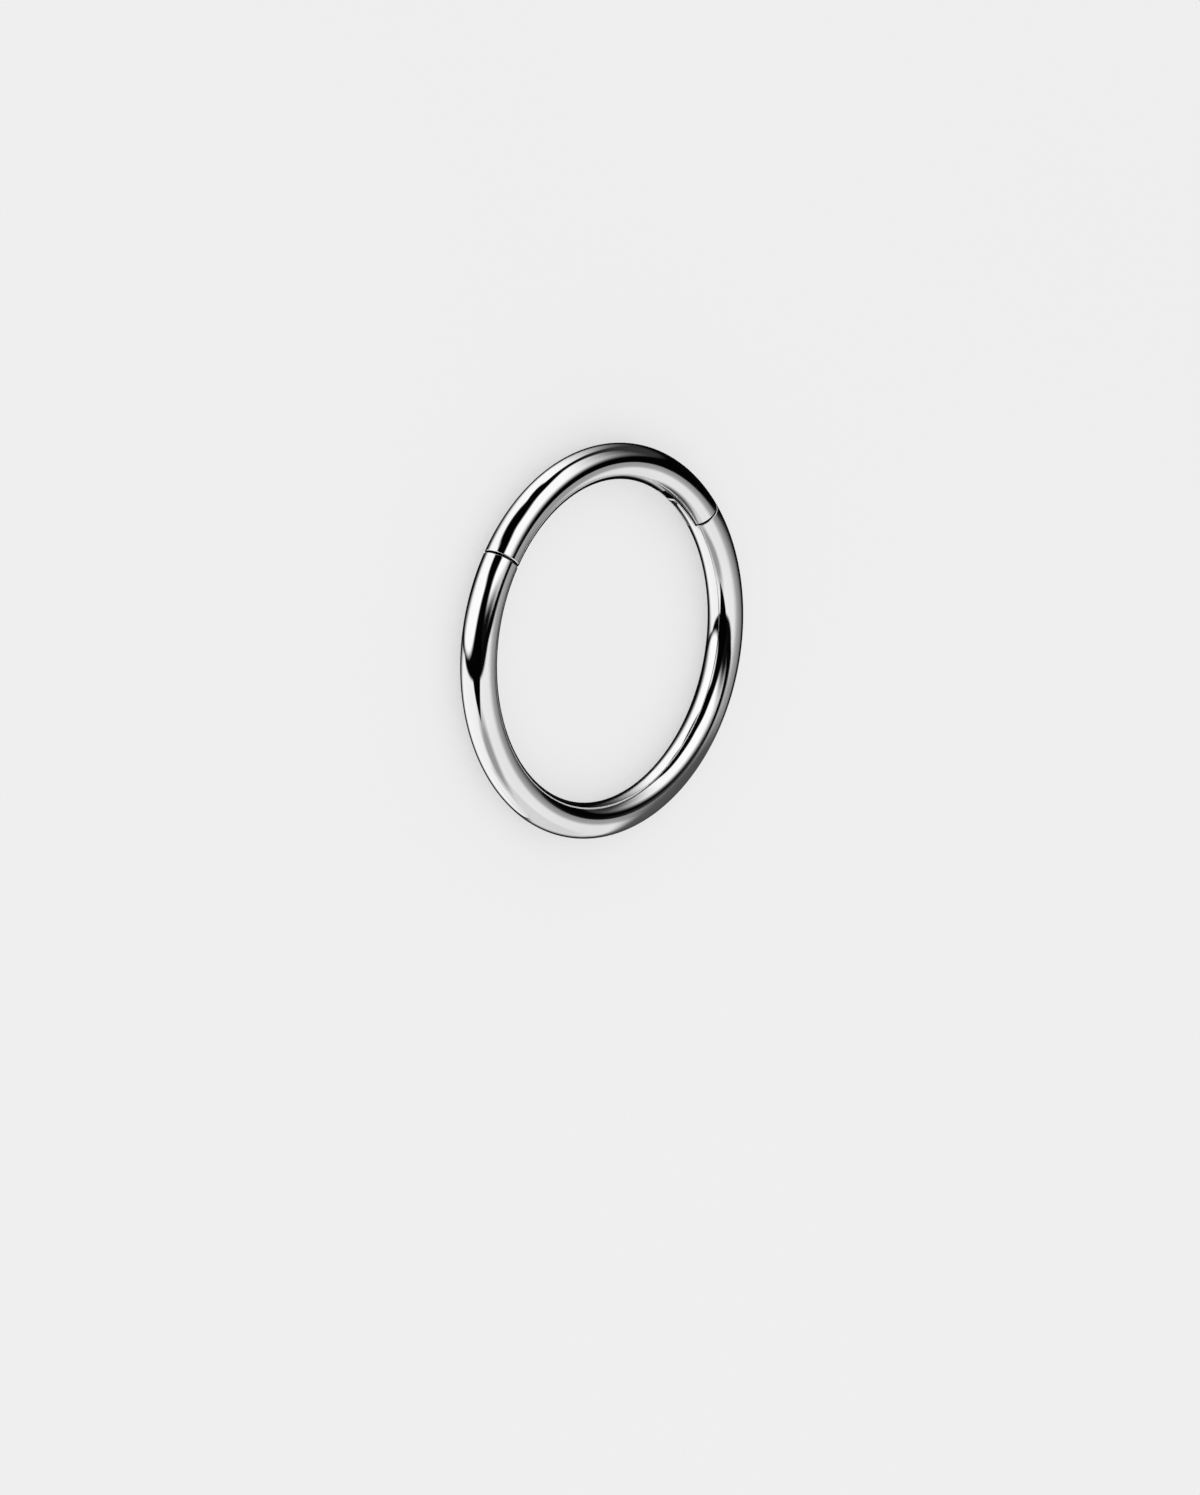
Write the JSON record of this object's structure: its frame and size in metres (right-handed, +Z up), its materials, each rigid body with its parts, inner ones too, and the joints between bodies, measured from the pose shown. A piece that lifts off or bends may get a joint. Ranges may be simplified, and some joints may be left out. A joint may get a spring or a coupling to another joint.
{
  "type": "nose ring",
  "caption": "Round-wire nose ring with a hinged segment that swings outwards on a hidden pin and clicks shut at its other end.",
  "frame": {"origin": "on the surface that the ring lies on, under the ring's centre", "axes": "+Z up along the ring's axis, on the side that the picture shows; +Y towards the top of the ring as the picture shows it, through the hinged segment; +X to the right as the picture shows it, on the hinge's side"},
  "size_m": [0.011, 0.011, 0.001],
  "materials": {
    "body_steel": "mirror-polished surgical steel",
    "segment_steel": "mirror-polished surgical steel",
    "pin_steel": "polished, slightly duller than the wire"
  },
  "bodies": {
    "body": {"ring_body": "body_steel"},
    "segment": {"hinged_segment": "segment_steel", "hinge_pin": "pin_steel"}
  },
  "joints": [
    {"name": "segment_hinge", "type": "hinge", "parent": "body", "child": "segment", "pos_m": [0.00372, 0.00363, 0.0005], "axis": [0, 0, -1], "range_deg": [0, 130]}
  ]
}
